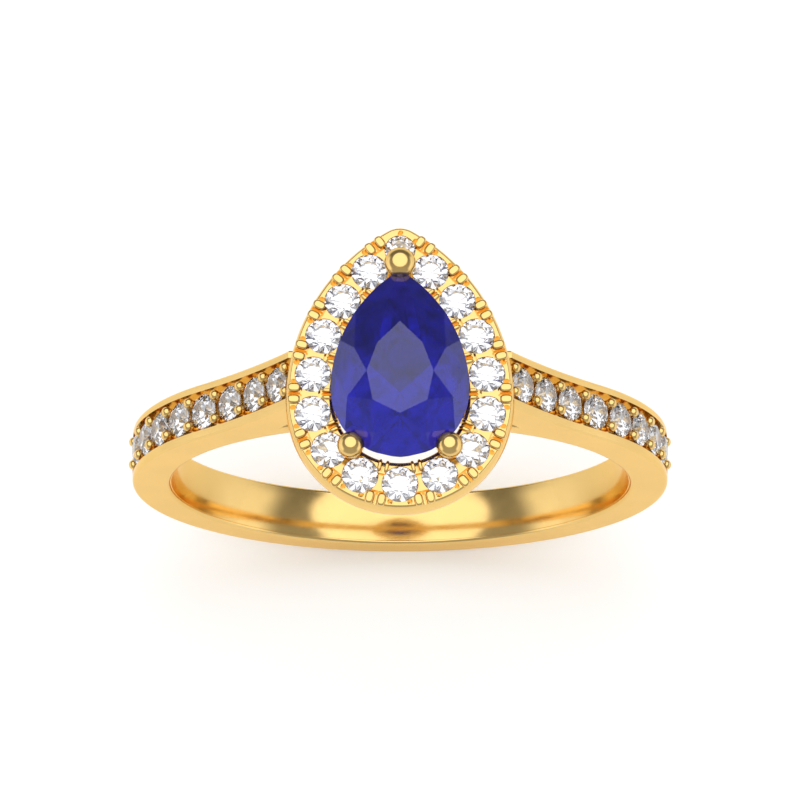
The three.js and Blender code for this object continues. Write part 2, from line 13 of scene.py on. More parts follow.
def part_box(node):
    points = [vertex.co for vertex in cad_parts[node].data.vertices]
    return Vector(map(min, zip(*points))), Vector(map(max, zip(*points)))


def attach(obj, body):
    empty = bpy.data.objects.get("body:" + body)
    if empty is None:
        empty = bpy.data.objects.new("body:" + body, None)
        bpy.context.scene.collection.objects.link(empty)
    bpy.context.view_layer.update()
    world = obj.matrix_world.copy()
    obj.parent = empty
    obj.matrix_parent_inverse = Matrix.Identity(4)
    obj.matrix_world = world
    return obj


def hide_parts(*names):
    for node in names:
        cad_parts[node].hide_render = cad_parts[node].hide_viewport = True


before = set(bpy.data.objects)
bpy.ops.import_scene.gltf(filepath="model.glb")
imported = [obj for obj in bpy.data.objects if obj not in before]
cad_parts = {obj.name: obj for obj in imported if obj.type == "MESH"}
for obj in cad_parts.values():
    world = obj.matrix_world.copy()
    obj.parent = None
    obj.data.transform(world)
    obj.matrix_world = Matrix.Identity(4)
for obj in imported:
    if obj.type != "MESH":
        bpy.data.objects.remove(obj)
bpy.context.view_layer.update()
MM = 0.001

# ---- Sizes, in millimetres ----
# Sizes that the frame gives.
shank_low, shank_high = (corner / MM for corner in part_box("shank"))
halo_low, halo_high = (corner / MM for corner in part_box("halo_frame"))
pear_low, pear_high = (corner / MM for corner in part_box("centre_stone"))
base_low, base_high = (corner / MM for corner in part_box("basket_base"))
melee_low, melee_high = (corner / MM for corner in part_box("halo_stone_01"))
band_width = shank_high.y - shank_low.y
melee_diameter = melee_high.x - melee_low.x
melee_radius = melee_diameter / 2

# Band
FINGER_RADIUS = 8.675
BAND_RISE = 0.09
COMFORT_RADIUS = 3.9
EDGE_ROUND = 0.14
ROUND_STEPS = 6
band_radius = BAND_RISE - shank_low.z
comfort_flare = COMFORT_RADIUS - math.sqrt(COMFORT_RADIUS**2 - (band_width / 2) ** 2)

# Shoulders
FLARE_START = math.radians(43)
ARM_TUCK = 0.07
ARM_TIP_LENGTH = 0.95
BRIDGE_THICKNESS = 0.95
BRIDGE_WAIST_WIDTH = 1.4
GALLERY_HALF_LENGTH = 4.3
SCOOP_DEPTH = 1.9
SCOOP_ABOVE = 0.4
SHOULDER_STONES = 8
BEAD_PITCH = 1.51
FIRST_BEAD = 0.32
BEAD_RADIUS = 0.2
BEAD_FOOT_RADIUS = 0.16
BEAD_NECK_RADIUS = 0.15
BEAD_NECK_DROP = 0.16
BEAD_DEPTH = 0.04
BEAD_ROW_OFFSET = 0.45
GROOVE_SIDE_SPACE = 0.1
GROOVE_DEPTH = 0.3
GROOVE_END = 0.42
SHOULDER_GIRDLE_DEPTH = 0.16
groove_width = melee_diameter + 2 * GROOVE_SIDE_SPACE
bridge_top = FINGER_RADIUS + BRIDGE_THICKNESS

# Round stones: slopes are shares of the main facets' slopes.
SEAT_GAP = 0.03
MELEE_GIRDLE = 0.04
MELEE_CROWN = 0.2
MELEE_TABLE_SHARE = 0.56
STAR_SLOPE = 0.6
UPPER_HALF_SLOPE = 1.22
LOWER_HALF_SLOPE = 1.045
HALF_EDGE_SHARE = 0.998

# Centre stone
PEAR_FACETS = 8
PEAR_GIRDLE = 0.12
PEAR_RISE = 0.5
PEAR_CROWN = 1.0
PEAR_TABLE_SHARE = 0.49
STAR_TIP_SHARE = 0.55
LOWER_HALF_REACH = 0.72
LOWER_HALF_DROP = 0.02
HALF_EDGE_INSET = 0.01

# Halo
HALO_THICKNESS = 1.2
HALO_GIRDLE_DEPTH = 0.05
HALO_TOP_RIM = 0.11
HALO_BELLY = 0.17
HALO_UNDER_ROUND = 0.45
HALO_TOP_ROUND = 0.5
HALO_INNER_RIM = 0.17
HALO_POINTS = 240
halo_under = halo_low.z
halo_top = halo_under + HALO_THICKNESS
halo_girdle = halo_top - HALO_GIRDLE_DEPTH
pear_girdle = halo_top + PEAR_RISE

INNER_ROUND = 0.16
CLEAR = 1.0
OUTER_PRONG_LENGTH = 0.5
OUTER_PRONG_WIDTH = 0.34
OUTER_PRONG_REACH = 0.63
INNER_PRONG_LENGTH = 0.46
INNER_PRONG_WIDTH = 0.16
INNER_PRONG_REACH = 0.6
PRONG_HEIGHT = 0.14
OUTER_PRONG_POWER = 2.8
INNER_PRONG_POWER = 2.6
SLIT_WIDTH = 0.1
SLIT_DEPTH = 0.34
OUTER_SLIT_SHIFT = 0.03
INNER_SLIT_SHIFT = 0.1
INNER_SLIT_EXTRA = 0.2
INNER_SLIT_SHARE = 1.3
CROSS_CUT_LENGTH = 0.62
CROSS_CUT_WIDTH = 0.08
CROSS_CUT_SHARE = 0.7
OUTER_CROSS_REACH = 0.37
INNER_CROSS_REACH = 0.29
NOTCH_WIDTH = 0.18
NOTCH_STRETCH = 1.3
NOTCH_TURN = math.radians(29)
AZURE_RADIUS = 0.32
AZURE_MOUTH_RADIUS = 0.4
AZURE_START = 0.1
AZURE_END = 2.0

# Claws
HEEL_CLAW = math.radians(40.3)
CLAW_STANDOFF = 0.25
CLAW_STEM_RADIUS = 0.28
CLAW_WAIST_INSET = 0.34
HEEL_CLAW_HEAD = 0.485
POINT_CLAW_HEAD = 0.57
CLAW_HEAD_HEIGHT = 0.46
CLAW_HEAD_DROP = 0.12
CLAW_FOOT_REACH = 0.68
CLAW_FOOT_SINK = 0.02
BASE_HEIGHT = 0.32
BASE_ROUND = 0.1
BASE_TOP_BREAK = 0.04
PEG_RADIUS = 0.45
PEG_BREAK = 0.05


# ---- Studio: sizes in millimetres, light as the strength of the world's background ----
CAMERA_ELEVATION = math.radians(74.25)
CAMERA_DISTANCE = 207.7
CAMERA_LIFT = 2.35
CAMERA_LENS = 243
FLOOR_HALF_SIZE = 600
FLOOR_WHITE = 1.1
DOME_LEAN = math.radians(14)
DOME_ANGLE = math.radians(46)
DOME_EDGE = 0.04
DOME_LIGHT = 1.6
FRONT_LIGHT = 0.5
BACK_LIGHT = 0.2
SIDE_LIGHT = 0.9
MATT_LIGHT = 1.03
SEEN_LIGHT = 0.95


# ---- Outlines ----
def arc(centre, radius, start, end, steps):
    """Evenly spaced points on a circle, from one angle to another."""
    points = []
    for i in range(steps + 1):
        angle = start + (end - start) * i / steps
        x = centre[0] + radius * math.cos(angle)
        points.append(Vector((x, centre[1] + radius * math.sin(angle))))
    return points


def mirrored(right):
    """The right half of an outline, lowest point first, joined to its mirror image."""
    return right + [Vector((-p.x, p.y)) for p in reversed(right[1:-1])]


class Pear:
    """A pear outline: a half circle at the heel and two arcs that meet at the point."""

    def __init__(self, width, length, heel_y):
        self.heel = width / 2
        self.centre_y = heel_y + self.heel
        self.rise = length - self.heel
        self.wing = (self.heel**2 + self.rise**2) / (2 * self.heel)
        self.wing_angle = math.asin(self.rise / self.wing)
        self.quarter = self.heel * math.pi / 2
        self.length = 2 * (self.quarter + self.wing * self.wing_angle)

    def at(self, distance):
        """The place and outward direction at a distance round from the middle of the heel."""
        along = distance % self.length
        left = along > self.length / 2
        half = self.length - along if left else along
        on_heel = half <= self.quarter
        angle = half / self.heel - math.pi / 2 if on_heel else (half - self.quarter) / self.wing
        radius = self.heel if on_heel else self.wing
        out = Vector((math.cos(angle), math.sin(angle)))
        point = Vector((self.heel - radius, self.centre_y)) + out * radius
        if left:
            point.x = -point.x
            out.x = -out.x
        return point, out

    def offset(self, amount, steps=160):
        """The outline moved outwards: round at the point when it grows, sharp when it shrinks."""
        heel_steps = steps // 5
        wing_steps = 3 * steps // 10
        right = arc((0, self.centre_y), self.heel + amount, -math.pi / 2, 0, heel_steps)
        wing = self.wing + amount
        sharp = math.acos(min(1, (self.wing - self.heel) / wing))
        end = self.wing_angle if amount > 0 else sharp
        right += arc((self.heel - self.wing, self.centre_y), wing, 0, end, wing_steps)[1:]
        if amount > 0:
            right += arc((0, self.centre_y + self.rise), amount, self.wing_angle, math.pi / 2, 10)[1:]
        return mirrored(right)


pear = Pear(pear_high.x - pear_low.x, pear_high.y - pear_low.y, pear_low.y)


# Each claw: the way out from the stone, its head's radius and the stone's reach that way.
heel_x = math.sin(HEEL_CLAW)
heel_y = -math.cos(HEEL_CLAW)
CLAWS = {
    "point": (Vector((0, 1)), POINT_CLAW_HEAD, pear.rise),
    "left": (Vector((-heel_x, heel_y)), HEEL_CLAW_HEAD, pear.heel),
    "right": (Vector((heel_x, heel_y)), HEEL_CLAW_HEAD, pear.heel),
}

halo_names = sorted(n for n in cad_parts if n.startswith("halo_stone_"))
point_stone = len(halo_names) // 2
point_low, point_high = (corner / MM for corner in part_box(halo_names[point_stone]))


def halo_row():
    """The pear line through the centres of the halo stones, from the heel's stone and the point's."""
    middles = [
        (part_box(f"halo_stone_{i:02d}")[0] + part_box(f"halo_stone_{i:02d}")[1]) / (2 * MM) for i in (1, 9)
    ]
    side = halo_high.x - melee_radius - HALO_TOP_RIM - HALO_BELLY
    return Pear(2 * side, middles[1].y - middles[0].y, middles[0].y)


row = halo_row()
halo_pitch = (row.length + melee_diameter - (point_high.x - point_low.x)) / len(halo_names)


def along_row(i):
    """How far round the row a halo stone lies, or a gap when i is half way between two stones."""
    if i == point_stone:
        return row.length / 2
    return i * halo_pitch if i < point_stone else row.length - (len(halo_names) - i) * halo_pitch


def halo_stone_size(i):
    """A halo stone's diameter as a share of the usual one."""
    return (point_high.x - point_low.x) / melee_diameter if i == point_stone else 1.0


# The shoulder's top line on the right side: a hollow flare, then the band's circle.
band_centre = Vector((0, BAND_RISE))
flare_out = Vector((math.cos(FLARE_START), math.sin(FLARE_START)))
flare_start = band_centre + flare_out * band_radius
arm_top = Vector((halo_high.x - ARM_TUCK, shank_high.z))
flare_chord = arm_top - flare_start
flare_radius = flare_chord.length_squared / (2 * flare_chord.dot(flare_out))
flare_centre = flare_start + flare_out * flare_radius
flare_turn = 2 * math.asin(flare_chord.length / (2 * flare_radius))
flare_length = flare_radius * flare_turn


def shoulder_at(distance):
    """The place and outward direction on the right shoulder's top line, by distance from the halo."""
    on_flare = distance < flare_length
    if on_flare:
        angle = FLARE_START + math.pi - (flare_length - distance) / flare_radius
    else:
        angle = FLARE_START - (distance - flare_length) / band_radius
    ray = Vector((math.cos(angle), math.sin(angle)))
    if on_flare:
        return flare_centre + ray * flare_radius, -ray
    return band_centre + ray * band_radius, ray


# ---- Mesh making ----
def made(name, vertices, faces):
    """A mesh object from points in millimetres."""
    mesh = bpy.data.meshes.new(name)
    mesh.from_pydata([Vector(v) * MM for v in vertices], [], faces)
    mesh.validate()
    piece = bpy.data.objects.new(name, mesh)
    bpy.context.scene.collection.objects.link(piece)
    return piece


def inset(outline, amount):
    """A closed outline moved inwards along its own normals; the outline runs anticlockwise."""
    moved = []
    count = len(outline)
    for i, point in enumerate(outline):
        before = (point - outline[i - 1]).normalized()
        after = (outline[(i + 1) % count] - point).normalized()
        tangent = (before + after).normalized()
        stretch = 1 / max(0.5, tangent.dot(after))
        moved.append(point + Vector((-tangent.y, tangent.x)) * amount * stretch)
    return moved


def prism(name, outline, levels, place):
    """A closed solid through copies of an outline: levels are (height, inset) pairs, lowest first."""
    vertices = []
    count = len(outline)
    for height, amount in levels:
        vertices += [place(p.x, p.y, height) for p in inset(outline, amount)]
    faces = [tuple(reversed(range(count)))]
    for level in range(len(levels) - 1):
        low = level * count
        for i in range(count):
            j = (i + 1) % count
            faces.append((low + i, low + j, low + count + j, low + count + i))
    faces.append(tuple(range(len(vertices) - count, len(vertices))))
    return made(name, vertices, faces)


def across(x, y, height):
    """An outline drawn in X and Z, with its height along -Y."""
    return (x, -height, y)


def upward(x, y, height):
    """An outline drawn in X and Y, with its height along Z."""
    return (x, y, height)


def quarter(steps=ROUND_STEPS):
    """Evenly spaced angles from zero to a quarter turn."""
    return [math.pi / 2 * i / steps for i in range(steps + 1)]


def rounded(low, high, radius):
    """Levels of a prism with quarter-round edges."""
    bottom = [(low + radius * (1 - math.sin(t)), radius * (1 - math.cos(t))) for t in reversed(quarter())]
    top = [(low + high - height, amount) for height, amount in reversed(bottom)]
    return bottom + top


def turned(name, profile, segments):
    """A closed solid of revolution about Z from (radius, height) points, axis to axis, lowest first."""
    vertices = []
    rings = []
    for radius, height in profile:
        if radius == 0:
            rings.append([len(vertices)] * segments)
            vertices.append((0, 0, height))
            continue
        rings.append(list(range(len(vertices), len(vertices) + segments)))
        for i in range(segments):
            angle = 2 * math.pi * i / segments
            vertices.append((radius * math.cos(angle), radius * math.sin(angle), height))
    faces = []
    for lower, upper in zip(rings, rings[1:]):
        for i in range(segments):
            j = (i + 1) % segments
            corners = [lower[i], lower[j], upper[j], upper[i]]
            faces.append(tuple(dict.fromkeys(corners)))
    return made(name, vertices, faces)


def moved(piece, place, up=(0, 0, 1), spin=0.0):
    """Turns a piece's own +Z along a direction and moves it to a place, in its mesh."""
    turn = Vector((0, 0, 1)).rotation_difference(Vector(up)).to_matrix().to_4x4()
    piece.data.transform(Matrix.Translation(Vector(place) * MM) @ turn @ Matrix.Rotation(spin, 4, "Z"))
    return piece


def copies(name, source, places):
    """One object that holds a copy of a mesh at each (place, up, spin)."""
    whole = bmesh.new()
    for place, up, spin in places:
        copy = bpy.data.objects.new(name, source.data.copy())
        moved(copy, place, up, spin)
        whole.from_mesh(copy.data)
        bpy.data.objects.remove(copy)
    mesh = bpy.data.meshes.new(name)
    whole.to_mesh(mesh)
    whole.free()
    bpy.data.objects.remove(source)
    piece = bpy.data.objects.new(name, mesh)
    bpy.context.scene.collection.objects.link(piece)
    return piece


def applied(piece):
    """Applies a piece's modifiers to its mesh."""
    depsgraph = bpy.context.evaluated_depsgraph_get()
    mesh = bpy.data.meshes.new_from_object(piece.evaluated_get(depsgraph))
    piece.modifiers.clear()
    piece.data = mesh
    return piece


def combined(piece, tool, operation="DIFFERENCE"):
    """Joins or cuts a piece with a tool, which is used up."""
    modifier = piece.modifiers.new("combine", "BOOLEAN")
    modifier.solver = "MANIFOLD"
    modifier.operation = operation
    modifier.object = tool
    bpy.context.view_layer.update()
    applied(piece)
    bpy.data.objects.remove(tool)
    return piece


def polished(piece, sharp_degrees=32):
    """Smooth shading that keeps flat faces flat and creases crisp."""
    piece.data.shade_smooth()
    piece.data.set_sharp_from_angle(angle=math.radians(sharp_degrees))
    modifier = piece.modifiers.new("normals", "WEIGHTED_NORMAL")
    modifier.keep_sharp = True
    modifier.weight = 90
    return applied(piece)


# ---- Gold ----
def shank_outline():
    """The shank seen along the finger: the band, the flared arms and the bridge between them."""
    right = arc(band_centre, band_radius, -math.pi / 2, FLARE_START, 150)
    start = FLARE_START + math.pi
    right += arc(flare_centre, flare_radius, start, start - flare_turn, 30)[1:]
    tip = Vector((arm_top.x - ARM_TIP_LENGTH, arm_top.y))
    angle = math.acos(GALLERY_HALF_LENGTH / bridge_top)
    corner = Vector((math.cos(angle), math.sin(angle))) * bridge_top
    bend = Vector((tip.x, (tip.y + corner.y) / 2))
    for i in range(21):
        t = i / 20
        right.append(tip * (1 - t) ** 2 + bend * 2 * t * (1 - t) + corner * t * t)
    right += arc((0, 0), bridge_top, angle, math.pi / 2, 40)[1:]
    return mirrored(right)


def finger_hole():
    """The comfort-fit hole, with a small round where it meets each side face."""
    half = band_width / 2
    mouth = FINGER_RADIUS + comfort_flare
    edge = []
    for turn in quarter():
        radius = mouth + EDGE_ROUND * (1 - math.sin(turn))
        edge.append((radius, -half + EDGE_ROUND * (1 - math.cos(turn))))
    profile = [(0, -half - CLEAR), (edge[0][0], -half - CLEAR)] + edge
    steps = 14
    low = -half + EDGE_ROUND
    for i in range(steps + 1):
        y = low - 2 * low * i / steps
        profile.append((FINGER_RADIUS + COMFORT_RADIUS - math.sqrt(COMFORT_RADIUS**2 - y * y), y))
    profile += [(radius, -y) for radius, y in reversed(edge)]
    profile += [(edge[0][0], half + CLEAR), (0, half + CLEAR)]
    hole = turned("finger_hole", profile, 360)
    hole.data.transform(Matrix.Rotation(math.pi / 2, 4, "X"))
    return hole


def groove(side):
    """The cut along one shoulder that holds the row of stones."""
    end = FIRST_BEAD + SHOULDER_STONES * BEAD_PITCH + GROOVE_END
    floor = []
    roof = []
    for i in range(81):
        point, out = shoulder_at(end * i / 80)
        floor.append(point - out * GROOVE_DEPTH)
        roof.append(point + out)
    _, out = shoulder_at(0)
    beyond = Vector((-out.y, out.x))
    outline = [floor[0] + beyond] + floor + roof[::-1] + [roof[0] + beyond]
    outline = [Vector((side * p.x, p.y)) for p in outline]
    if side < 0:
        outline.reverse()
    half = groove_width / 2
    return prism("groove", outline, [(-half, 0), (half, 0)], across)


def shoulder_place(distance, depth, y, side):
    """A place and up direction on the right (+1) or left (-1) shoulder, sunk below the metal."""
    point, out = shoulder_at(distance)
    sunk = point - out * depth
    return (side * sunk.x, y, sunk.y), (side * out.x, 0, out.y), 0.0


def seat_tool(size=1.0):
    """What a round stone needs cut from the metal, with its axis along Z and its girdle at zero."""
    half = MELEE_GIRDLE / 2 * size
    radius = melee_radius * size + SEAT_GAP / 2
    culet = (melee_low.z - halo_girdle) * size - SEAT_GAP
    return turned("seat", [(0, culet), (radius, -half), (radius, CLEAR), (0, CLEAR)], 48)


def bead_tool():
    """A bead raised from the groove's floor: a ball on a short root."""
    profile = [(0, -GROOVE_DEPTH), (BEAD_FOOT_RADIUS, -GROOVE_DEPTH), (BEAD_NECK_RADIUS, -BEAD_NECK_DROP)]
    for i in range(2, 13):
        turn = -math.pi / 2 + math.pi * i / 12
        profile.append((BEAD_RADIUS * math.cos(turn), BEAD_RADIUS * math.sin(turn)))
    profile[-1] = (0, BEAD_RADIUS)
    return turned("bead", profile, 32)


def scoop(face):
    """One side of the bridge's waist."""
    reach = arm_top.x - ARM_TIP_LENGTH
    depth = (band_width - BRIDGE_WAIST_WIDTH) / 2
    radius = (reach**2 + depth**2) / (2 * depth)
    outline = arc((0, face * (BRIDGE_WAIST_WIDTH / 2 + radius)), radius, 0, 2 * math.pi, 720)[:-1]
    return prism("scoop", outline, [(bridge_top - SCOOP_DEPTH, 0), (bridge_top + SCOOP_ABOVE, 0)], upward)


def peg_hole():
    """The hole through the bridge that takes the base's peg."""
    radius = PEG_RADIUS + SEAT_GAP
    low = FINGER_RADIUS - CLEAR
    high = bridge_top + CLEAR
    return turned("peg_hole", [(0, low), (radius, low), (radius, high), (0, high)], 48)


def make_shank():
    """The band, arms and bridge, with grooves, seats and raised beads."""
    half = band_width / 2
    shank = prism("shank_gold", shank_outline(), rounded(-half, half, EDGE_ROUND), across)
    combined(shank, finger_hole())
    combined(shank, scoop(-1))
    combined(shank, scoop(1))
    combined(shank, peg_hole())
    seats = []
    beads = []
    for side in (-1, 1):
        combined(shank, groove(side))
        for i in range(SHOULDER_STONES + 1):
            distance = FIRST_BEAD + i * BEAD_PITCH
            for face in (-1, 1):
                beads.append(shoulder_place(distance, BEAD_DEPTH, face * BEAD_ROW_OFFSET, side))
        for i in range(SHOULDER_STONES):
            seats.append(shoulder_stone_place(i, side))
    combined(shank, copies("seats", seat_tool(), seats))
    combined(shank, copies("beads", bead_tool(), beads), "UNION")
    return polished(shank)


def halo_stone_place(i):
    point, _ = row.at(along_row(i))
    return (point.x, point.y, halo_girdle), (0, 0, 1), 0.0


def shoulder_stone_place(i, side):
    return shoulder_place(FIRST_BEAD + (i + 0.5) * BEAD_PITCH, SHOULDER_GIRDLE_DEPTH, 0, side)


def pad(name, length, width, height, power):
    """A rounded pad: a superellipsoid with its long side along X."""
    rings = 12
    segments = 28

    def bulge(value):
        return math.copysign(abs(value) ** (2 / power), value)

    vertices = [(0, 0, -height)]
    for i in range(1, rings):
        tilt = -math.pi / 2 + math.pi * i / rings
        for j in range(segments):
            turn = 2 * math.pi * j / segments
            x = length / 2 * bulge(math.cos(tilt)) * bulge(math.cos(turn))
            y = width / 2 * bulge(math.cos(tilt)) * bulge(math.sin(turn))
            vertices.append((x, y, height * bulge(math.sin(tilt))))
    vertices.append((0, 0, height))
    faces = []
    for j in range(segments):
        k = (j + 1) % segments
        faces.append((0, 1 + k, 1 + j))
        for i in range(rings - 2):
            low = 1 + i * segments
            faces.append((low + j, low + k, low + segments + k, low + segments + j))
        low = 1 + (rings - 2) * segments
        faces.append((low + j, low + k, len(vertices) - 1))
    return made(name, vertices, faces)


def gap_places(reach, side_step=0.0):
    """Places in the gaps between halo stones, at a distance out from the row line.

    Inside the row, the two gaps at the point are left out: the claw's stem fills them.
    """
    places = []
    for i in range(len(halo_names)):
        if reach < 0 and i in (point_stone - 1, point_stone):
            continue
        point, out = row.at(along_row(i + 0.5))
        tangent = Vector((-out.y, out.x))
        for hand in (-1, 1) if side_step else (0,):
            spot = point + out * reach + tangent * side_step * hand
            places.append(((spot.x, spot.y, halo_top), (0, 0, 1), math.atan2(out.y, out.x)))
    return places


def notch_places():
    """Places beside every halo stone where the rim is notched, between the outer prongs."""
    places = []
    for i in range(len(halo_names)):
        point, out = row.at(along_row(i))
        for hand in (-1, 1):
            turn = math.atan2(out.y, out.x) + hand * NOTCH_TURN
            reach = melee_radius * halo_stone_size(i) + NOTCH_WIDTH / 2
            spot = point + Vector((math.cos(turn), math.sin(turn))) * reach
            places.append(((spot.x, spot.y, halo_top), (0, 0, 1), math.atan2(out.y, out.x)))
    return places


def slot_tool(length, width, depth):
    """A cut with round ends, its long side along X."""
    half = length / 2 - width / 2
    outline = arc((half, 0), width / 2, -math.pi / 2, math.pi / 2, 8)
    outline += arc((-half, 0), width / 2, math.pi / 2, 3 * math.pi / 2, 8)
    return prism("slot", outline, [(-depth, 0), (0.5, 0)], upward)


def halo_levels():
    """The halo's side: a rolled top rim, a full belly and a tucked underside."""
    levels = []
    for turn in quarter(8):
        height = halo_under + HALO_UNDER_ROUND * (1 - math.cos(turn))
        levels.append((height, HALO_BELLY * (1 - math.sin(turn))))
    for turn in quarter(8):
        height = halo_top - HALO_TOP_ROUND * (1 - math.sin(turn))
        levels.append((height, HALO_BELLY * (1 - math.cos(turn))))
    return levels


def opening_levels():
    """The opening under the centre stone, with a rounded upper edge."""
    levels = [(halo_under - CLEAR, 0)]
    for turn in quarter():
        height = halo_top - INNER_ROUND * (1 - math.sin(turn))
        levels.append((height, -INNER_ROUND * (1 - math.cos(turn))))
    return levels + [(halo_top + CLEAR, -INNER_ROUND)]


def raise_prongs(halo):
    """Adds a pair of domed prongs outside and inside the row, in the gaps between stones."""
    prong = pad("prong", OUTER_PRONG_LENGTH, OUTER_PRONG_WIDTH, PRONG_HEIGHT, OUTER_PRONG_POWER)
    outer = gap_places(OUTER_PRONG_REACH, (OUTER_PRONG_WIDTH + SLIT_WIDTH) / 2)
    combined(halo, copies("outer_prongs", prong, outer), "UNION")
    prong = pad("prong", INNER_PRONG_LENGTH, INNER_PRONG_WIDTH, PRONG_HEIGHT, INNER_PRONG_POWER)
    inner = gap_places(-INNER_PRONG_REACH, (INNER_PRONG_WIDTH + SLIT_WIDTH) / 2)
    combined(halo, copies("inner_prongs", prong, inner), "UNION")


def saw_cuts(halo):
    """Cuts the slits between prongs, the cross cuts that free them and the rim's notches."""
    slits = slot_tool(OUTER_PRONG_LENGTH, SLIT_WIDTH, SLIT_DEPTH)
    combined(halo, copies("outer_slits", slits, gap_places(OUTER_PRONG_REACH - OUTER_SLIT_SHIFT)))
    slits = slot_tool(INNER_PRONG_LENGTH + INNER_SLIT_EXTRA, INNER_SLIT_SHARE * SLIT_WIDTH, SLIT_DEPTH)
    combined(halo, copies("inner_slits", slits, gap_places(-INNER_PRONG_REACH - INNER_SLIT_SHIFT)))
    for reach in (OUTER_CROSS_REACH, -INNER_CROSS_REACH):
        cross = slot_tool(CROSS_CUT_LENGTH, CROSS_CUT_WIDTH, CROSS_CUT_SHARE * SLIT_DEPTH)
        places = [(place, up, spin + math.pi / 2) for place, up, spin in gap_places(reach)]
        combined(halo, copies("cross_cuts", cross, places))
    notch = slot_tool(NOTCH_STRETCH * NOTCH_WIDTH, NOTCH_WIDTH, SLIT_DEPTH)
    combined(halo, copies("notches", notch, notch_places()))


def drill_seats(halo):
    """Cuts a seat for every halo stone, and a hole right through under it."""
    azures = []
    for i in range(len(halo_names)):
        place, _, _ = halo_stone_place(i)
        azures.append((place, (0, 0, -1), 0.0))
        combined(halo, moved(seat_tool(halo_stone_size(i)), place))
    start = [(0, AZURE_START), (AZURE_RADIUS, AZURE_START)]
    azure = turned("azure", start + [(AZURE_MOUTH_RADIUS, AZURE_END), (0, AZURE_END)], 32)
    combined(halo, copies("azures", azure, azures))


def make_halo():
    """The halo frame: a pear-shaped rim with prongs, cuts, stone seats and room for the claws."""
    widest = row.offset(melee_radius + HALO_TOP_RIM + HALO_BELLY, HALO_POINTS)
    halo = prism("halo_gold", widest, halo_levels(), upward)
    inner = row.offset(-melee_radius - HALO_INNER_RIM, HALO_POINTS)
    combined(halo, prism("opening", inner, opening_levels(), upward))
    raise_prongs(halo)
    saw_cuts(halo)
    drill_seats(halo)
    for claw in CLAWS:
        combined(halo, make_claw(claw, SEAT_GAP / 2))
    return polished(halo)


def smooth_line(first, middle, last, steps=14):
    """A Catmull-Rom curve through three points."""
    knots = [first * 2 - middle, first, middle, last, last * 2 - middle]
    line = []
    for i in (0, 1):
        p0, p1, p2, p3 = knots[i : i + 4]
        a = p1 * 2
        b = p2 - p0
        c = p0 * 2 - p1 * 5 + p2 * 4 - p3
        d = p1 * 3 - p0 - p2 * 3 + p3
        for k in range(steps + i):
            t = k / steps
            line.append((a + b * t + c * t * t + d * t**3) / 2)
    return line


def claw_dome(radius, height):
    """A claw's head: a ball flattened along Z."""
    rings = 20
    profile = [(0, -height)]
    for i in range(1, rings):
        turn = -math.pi / 2 + math.pi * i / rings
        profile.append((radius * math.cos(turn), height * math.sin(turn)))
    return turned("dome", profile + [(0, height)], 48)


def make_claw(name, grow=0.0):
    """A bent wire from the base up to a domed head that laps over the stone's edge."""
    out, head_radius, reach = CLAWS[name]
    head = Vector((0, pear.centre_y)) + out * (reach + CLAW_STANDOFF)
    waist = head - out * CLAW_WAIST_INSET
    foot = head.normalized() * CLAW_FOOT_REACH
    head_z = pear_girdle + CLAW_HEAD_DROP
    low = Vector((foot.x, foot.y, base_high.z - CLAW_FOOT_SINK))
    bend = Vector((waist.x, waist.y, halo_girdle))
    line = smooth_line(low, bend, Vector((head.x, head.y, head_z)))
    stem = tube("claw_" + name, line, CLAW_STEM_RADIUS + grow, 32)
    dome = claw_dome(head_radius + grow, CLAW_HEAD_HEIGHT + grow)
    return combined(stem, moved(dome, (head.x, head.y, head_z)), "UNION")


def tube(name, line, radius, segments):
    """A closed round tube along a line of points."""
    vertices = []
    along_x = abs((line[-1] - line[0]).normalized().x) > math.sqrt(0.5)
    across_line = Vector((0, 1, 0)) if along_x else Vector((1, 0, 0))
    for i, point in enumerate(line):
        ahead = (line[min(i + 1, len(line) - 1)] - line[max(i - 1, 0)]).normalized()
        side = ahead.cross(across_line).normalized()
        other = ahead.cross(side)
        for j in range(segments):
            angle = 2 * math.pi * j / segments
            vertices.append(point + (side * math.cos(angle) + other * math.sin(angle)) * radius)
    faces = [tuple(reversed(range(segments)))]
    for i in range(len(line) - 1):
        low = i * segments
        for j in range(segments):
            k = (j + 1) % segments
            faces.append((low + j, low + k, low + segments + k, low + segments + j))
    faces.append(tuple(range(len(vertices) - segments, len(vertices))))
    return made(name, vertices, faces)


def make_base():
    """The disc that the claws stand on, with the peg below it."""
    top = base_high.z
    low = top - BASE_HEIGHT
    radius = base_high.x
    profile = [(0, base_low.z), (PEG_RADIUS - PEG_BREAK, base_low.z), (PEG_RADIUS, base_low.z + PEG_BREAK)]
    profile += [(PEG_RADIUS, low), (radius - BASE_ROUND, low)]
    for turn in quarter():
        out = radius - BASE_ROUND * (1 - math.sin(turn))
        profile.append((out, low + BASE_ROUND * (1 - math.cos(turn))))
    profile += [(radius, top - BASE_TOP_BREAK), (radius - BASE_TOP_BREAK, top), (0, top)]
    return polished(turned("basket_base_gold", profile, 64))


# ---- Stones ----
def facet(mesh, plane_point, normal):
    """Cuts away what lies beyond a plane and closes the cut with one flat facet."""
    geometry = mesh.verts[:] + mesh.edges[:] + mesh.faces[:]
    point = Vector(plane_point)
    out = Vector(normal)
    bmesh.ops.bisect_plane(mesh, geom=geometry, dist=1e-5, plane_co=point, plane_no=out, clear_outer=True)
    rim = [e for e in mesh.edges if e.is_boundary]
    if rim:
        bmesh.ops.edgeloop_fill(mesh, edges=rim)


def cut_from(blank):
    """A bmesh in millimetres made from a blank, which is used up."""
    mesh = bmesh.new()
    mesh.from_mesh(blank.data)
    bpy.data.objects.remove(blank)
    bmesh.ops.scale(mesh, vec=(1 / MM,) * 3, verts=mesh.verts)
    return mesh


